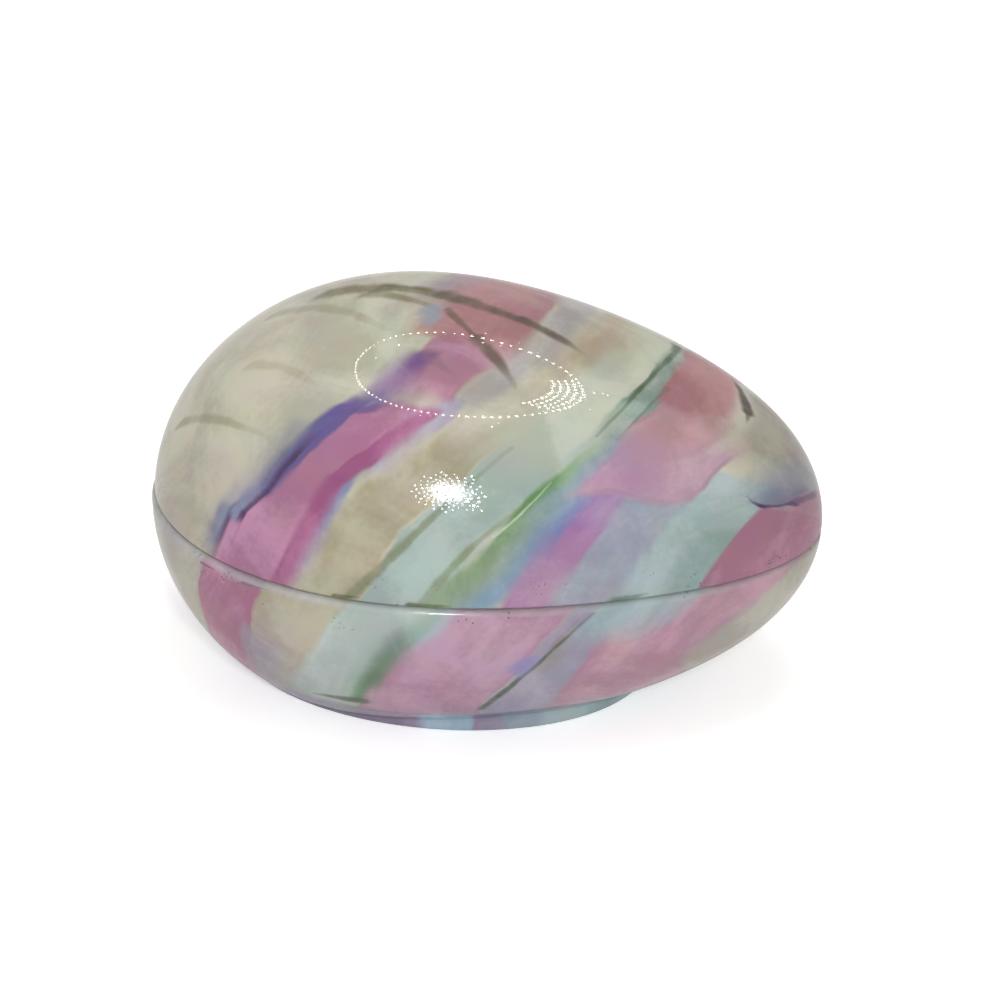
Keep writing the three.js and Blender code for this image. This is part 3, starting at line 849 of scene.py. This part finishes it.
    ripple = add(tree, "ShaderNodeTexNoise", {"Vector": place, "Scale": 1 / RIPPLE_WIDTH, "Detail": 1})
    bump = add(tree, "ShaderNodeBump", {"Height": ripple, "Distance": RIPPLE_DEPTH})
    flakes = add(tree, "ShaderNodeTexVoronoi", {"Vector": place, "Scale": 1 / FLAKE_SIZE}).outputs["Color"]
    tilt = add(tree, "ShaderNodeVectorMath", {0: flakes, 1: MEAN_COLOUR}, operation="SUBTRACT")
    pick = add(tree, "ShaderNodeSeparateColor", {0: flakes})
    few = add(tree, "ShaderNodeMath", {0: pick, 1: FLAKE_SHARE}, operation="LESS_THAN")
    lean = add(tree, "ShaderNodeMath", {0: few, 1: FLAKE_TILT}, operation="MULTIPLY")
    tilt = add(tree, "ShaderNodeVectorMath", {0: tilt, "Scale": lean}, operation="SCALE")
    pearl = add(tree, "ShaderNodeVectorMath", {0: bump, 1: tilt}, operation="ADD")
    pearl = add(tree, "ShaderNodeVectorMath", {0: pearl}, operation="NORMALIZE")
    shine = add(tree, "ShaderNodeMapRange", {0: cloud, **SHINE_RANGE})
    shader = add(
        tree,
        "ShaderNodeBsdfPrincipled",
        {
            "Base Color": colour,
            "Roughness": shine,
            "Normal": bump,
            "Coat Normal": pearl,
            "IOR": GLAZE_IOR,
            "Specular IOR Level": 0.0,
            "Coat Weight": 0.5,
            "Coat Roughness": 0.03,
            "Coat IOR": GLAZE_IOR,
        },
    )
    add(tree, "ShaderNodeOutputMaterial", {"Surface": shader})
    return material


def white_porcelain():
    """White porcelain under clear glaze: cool white, faintly clouded, with a wet gloss."""
    material = new_material("white_glazed_porcelain")
    tree = material.node_tree
    place = add(tree, "ShaderNodeTexCoord").outputs["Object"]
    cloud = add(tree, "ShaderNodeTexNoise", {"Vector": place, "Scale": 1 / WHITE_CLOUD, "Detail": 4})
    colour = add(
        tree,
        "ShaderNodeMix",
        {0: cloud, FIRST_COLOUR: linear("e6e5df"), SECOND_COLOUR: linear("d8dad5")},
        data_type="RGBA",
    )
    ripple = add(tree, "ShaderNodeTexNoise", {"Vector": place, "Scale": 1 / (RIPPLE_WIDTH * MM), "Detail": 1})
    bump = add(tree, "ShaderNodeBump", {"Height": ripple, "Distance": RIPPLE_DEPTH})
    shader = add(
        tree,
        "ShaderNodeBsdfPrincipled",
        {
            "Base Color": colour.outputs[MIXED_COLOUR],
            "Roughness": 0.3,
            "Normal": bump,
            "IOR": GLAZE_IOR,
            "Coat Weight": 0.5,
            "Coat Roughness": 0.05,
        },
    )
    add(tree, "ShaderNodeOutputMaterial", {"Surface": shader})
    return material


def biscuit_porcelain():
    """Unglazed fired porcelain: chalky, pale and dry, with a fine sandy tooth and rubbed grey in places."""
    material = new_material("unglazed_biscuit_porcelain")
    tree = material.node_tree
    place = add(tree, "ShaderNodeTexCoord").outputs["Object"]
    rub = add(
        tree,
        "ShaderNodeTexNoise",
        {"Vector": place, "Scale": 1 / RUBBED_PATCH, "Detail": 6, "Roughness": 0.7},
    )
    colour = add(
        tree,
        "ShaderNodeMix",
        {0: rub, FIRST_COLOUR: linear("d2ccbf"), SECOND_COLOUR: linear("b3aa9b")},
        data_type="RGBA",
    )
    tooth = add(tree, "ShaderNodeTexNoise", {"Vector": place, "Scale": 1 / TOOTH_SIZE, "Detail": 2})
    bump = add(tree, "ShaderNodeBump", {"Height": tooth, "Distance": TOOTH_DEPTH})
    shader = add(
        tree,
        "ShaderNodeBsdfPrincipled",
        {
            "Base Color": colour.outputs[MIXED_COLOUR],
            "Roughness": 0.75,
            "Normal": bump,
            "IOR": GLAZE_IOR,
        },
    )
    add(tree, "ShaderNodeOutputMaterial", {"Surface": shader})
    return material


wash_nodes = wash_group()
stroke_nodes = stroke_group()
lid_paint = painted_porcelain("lid", LID_SLANT_UP, LID_GROUND, LID_WASHES, LID_STROKES)
base_paint = painted_porcelain("base", BASE_SLANT_UP, BASE_GROUND, BASE_WASHES, BASE_STROKES)
white_glaze = white_porcelain()
biscuit = biscuit_porcelain()

lid_piece = lid_shell()
base_piece = base_shell()
for piece, body, paint in ((lid_piece, "lid", lid_paint), (base_piece, "base", base_paint)):
    for material in (paint, white_glaze, biscuit):
        piece.data.materials.append(material)
    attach(piece, body)
    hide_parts(body)


def stage_piece(name, bm, material):
    """A mesh of the studio, which isn't part of the object."""
    mesh = bpy.data.meshes.new(name)
    bm.to_mesh(mesh)
    bm.free()
    mesh.materials.append(material)
    piece = bpy.data.objects.new(name, mesh)
    bpy.context.scene.collection.objects.link(piece)
    return piece


def seen_directly(tree):
    """1 for a ray from the camera, or one that is mirrored or let through, and 0 for scattered light."""
    path = add(tree, "ShaderNodeLightPath").outputs
    seen = path["Is Camera Ray"]
    for ray in ("Is Glossy Ray", "Is Transmission Ray"):
        seen = add(tree, "ShaderNodeMath", {0: seen, 1: path[ray]}, operation="MAXIMUM")
    return seen


# White paper sweep: the glow that only the eye sees brings it to white and leaves the soft shadow
FLOOR_HALF = 3.0
FLOOR_GLOW = 0.45
PAPER = "efefef"
sweep = new_material("white_paper_sweep")
tree = sweep.node_tree
diffuse = add(tree, "ShaderNodeBsdfDiffuse", {"Color": linear(PAPER)})
lift = add(tree, "ShaderNodeMath", {0: seen_directly(tree), 1: FLOOR_GLOW}, operation="MULTIPLY")
glow = add(tree, "ShaderNodeEmission", {"Strength": lift})
both = add(tree, "ShaderNodeAddShader", {0: diffuse, 1: glow})
add(tree, "ShaderNodeOutputMaterial", {"Surface": both})
bm = bmesh.new()
bmesh.ops.create_grid(bm, x_segments=1, y_segments=1, size=FLOOR_HALF)
stage_piece("floor", bm, sweep)

# White surroundings that give an even light and show white
AMBIENT = 0.47
world = bpy.data.worlds.new("white_surroundings")
bpy.context.scene.world = world
world.use_nodes = True
tree = world.node_tree
tree.nodes.clear()
ambient = add(tree, "ShaderNodeBackground", {"Color": (1, 1, 1, 1), "Strength": AMBIENT})
backdrop = add(tree, "ShaderNodeBackground", {"Color": (1, 1, 1, 1), "Strength": 1.0})
mixed = add(tree, "ShaderNodeMixShader", {0: seen_directly(tree), 1: ambient, 2: backdrop})
add(tree, "ShaderNodeOutputWorld", {"Surface": mixed})

# Ring of small lamps overhead that dot the glaze: a whole row, and short rows inside it on the right
RING_CENTRE = Vector((11 * MM, 10 * MM, SEAM_HEIGHT + 300 * MM))
RING_RADIUS = 140 * MM
RING_DEPTH = 0.94
ROW_STEP = 8 * MM
WHOLE_ROWS = 1
SHORT_ROWS = 4
LAMPS_IN_ROW = 82
LAMPS_IN_SHORT_ROW = 13
RING_LAMP_RADIUS = 1.8 * MM
# The egg's curve squeezes the picture of a lamp front to back, so each lamp is long that way
LAMP_STRETCH = 1.7
LAMP_SIDES = 8
LAMP_GLOW = 52
RING_TINT = "fff4e0"
step = 2 * math.pi / LAMPS_IN_ROW
ring_places = []
for row in range(WHOLE_ROWS + SHORT_ROWS):
    count = LAMPS_IN_ROW if row < WHOLE_ROWS else LAMPS_IN_SHORT_ROW
    for i in range(count):
        turn = (i - (count + row) / 2) * step
        ring_places.append((RING_RADIUS - row * ROW_STEP, turn))

# Small lamps that thin out around the front lamp, each a fixed turn on from the last
FRONT_PLACE = Vector((44, -496, 328)) * MM
FRONT_WIDTH = 70 * MM
SPARKLE_REACH = 105 * MM
SPARKLE_COUNT = 130
SPARKLE_RADIUS = 2.9 * MM
SPARKLE_THINNING = 1.5
SPARKLE_TURN = math.radians(137.5)
SPARKLE_DEPTH = 1.0
SPARKLE_TINT = "eef6ff"
# The sparkles stand this much further off than the front lamp
SPARKLE_SETBACK = 1.05
sparkle_places = []
for i in range(SPARKLE_COUNT):
    share = (i / SPARKLE_COUNT) ** SPARKLE_THINNING
    radius = FRONT_WIDTH / 2 + share * (SPARKLE_REACH - FRONT_WIDTH / 2)
    sparkle_places.append((radius, i * SPARKLE_TURN))


def small_lamps(name, colour, stand, places, depth, size):
    """Small round lamps on a flat stand, each at a radius and a turn, seen in the glaze alone."""
    glass = new_material(name + "_glass")
    glow = add(glass.node_tree, "ShaderNodeEmission", {"Color": linear(colour), "Strength": LAMP_GLOW})
    add(glass.node_tree, "ShaderNodeOutputMaterial", {"Surface": glow})
    bm = bmesh.new()
    for radius, turn in places:
        spot = Vector((radius * math.cos(turn), radius * math.sin(turn) * depth, 0))
        shape = stand @ Matrix.Translation(spot) @ Matrix.Diagonal((1, LAMP_STRETCH, 1, 1))
        bmesh.ops.create_circle(bm, cap_ends=True, segments=LAMP_SIDES, radius=size, matrix=shape)
    lamps = stage_piece(name, bm, glass)
    lamps.visible_camera = False
    lamps.visible_diffuse = False


def stand_at(place, aim):
    """A stand at a place, turned to what it lights."""
    return Matrix.Translation(place) @ (place - aim).to_track_quat("Z", "Y").to_matrix().to_4x4()


middle = Vector((0, 0, SEAM_HEIGHT))
ring_stand = Matrix.Translation(RING_CENTRE)
sparkle_stand = stand_at(FRONT_PLACE * SPARKLE_SETBACK, middle)
small_lamps("ring_lamp", RING_TINT, ring_stand, ring_places, RING_DEPTH, RING_LAMP_RADIUS)
small_lamps("front_sparkle", SPARKLE_TINT, sparkle_stand, sparkle_places, SPARKLE_DEPTH, SPARKLE_RADIUS)

# Soft round lamps with place, width and watts: two glows, wider and further off, soften the front lamp
LEFT_PLACE = Vector((-700, -250, 500)) * MM
TOP_PLACE = RING_CENTRE + Vector((0, 0, 300 * MM))
SOFT_LAMPS = {
    "front_lamp": (FRONT_PLACE, FRONT_WIDTH, 0.85),
    "front_inner_glow": (FRONT_PLACE * 1.1, FRONT_WIDTH * 1.5, 0.35),
    "front_outer_glow": (FRONT_PLACE * 1.15, FRONT_WIDTH * 2.2, 0.4),
    "left_lamp": (LEFT_PLACE, 500 * MM, 0.8),
    "top_lamp": (TOP_PLACE, 300 * MM, 1.1),
}
# Lamps that light the egg and don't show in its glaze
NOT_MIRRORED = ("left_lamp", "top_lamp")
for name, (place, width, watts) in SOFT_LAMPS.items():
    lamp = bpy.data.lights.new(name, "AREA")
    lamp.shape = "DISK"
    lamp.size = width
    lamp.energy = watts
    holder = bpy.data.objects.new(name, lamp)
    holder.matrix_world = stand_at(place, middle)
    bpy.context.scene.collection.objects.link(holder)
    holder.visible_camera = False
    holder.visible_glossy = name not in NOT_MIRRORED

# Camera, fitted to the outline of the egg
CAMERA_AZIMUTH = math.radians(0.1)
CAMERA_ELEVATION = math.radians(28.24)
CAMERA_ROLL = math.radians(3.67)
CAMERA_DISTANCE = 600 * MM
CAMERA_TARGET = Vector((2.04 * MM, 0, SEAM_HEIGHT + 0.376 * MM))
FOCAL_PIXELS = 3655
PICTURE_PIXELS = 1000
SENSOR = 36

back = Vector((
    math.sin(CAMERA_AZIMUTH) * math.cos(CAMERA_ELEVATION),
    -math.cos(CAMERA_AZIMUTH) * math.cos(CAMERA_ELEVATION),
    math.sin(CAMERA_ELEVATION),
))
right = Vector((math.cos(CAMERA_AZIMUTH), math.sin(CAMERA_AZIMUTH), 0))
upright = Matrix((right, back.cross(right), back)).transposed().to_4x4()
lens = bpy.data.cameras.new("camera")
lens.sensor_width = SENSOR
lens.lens = FOCAL_PIXELS / PICTURE_PIXELS * SENSOR
camera = bpy.data.objects.new("camera", lens)
bpy.context.scene.collection.objects.link(camera)
tripod = Matrix.Translation(CAMERA_TARGET + back * CAMERA_DISTANCE)
camera.matrix_world = tripod @ upright @ Matrix.Rotation(CAMERA_ROLL, 4, "Z")
bpy.context.scene.camera = camera

bpy.context.scene.view_settings.view_transform = "Standard"
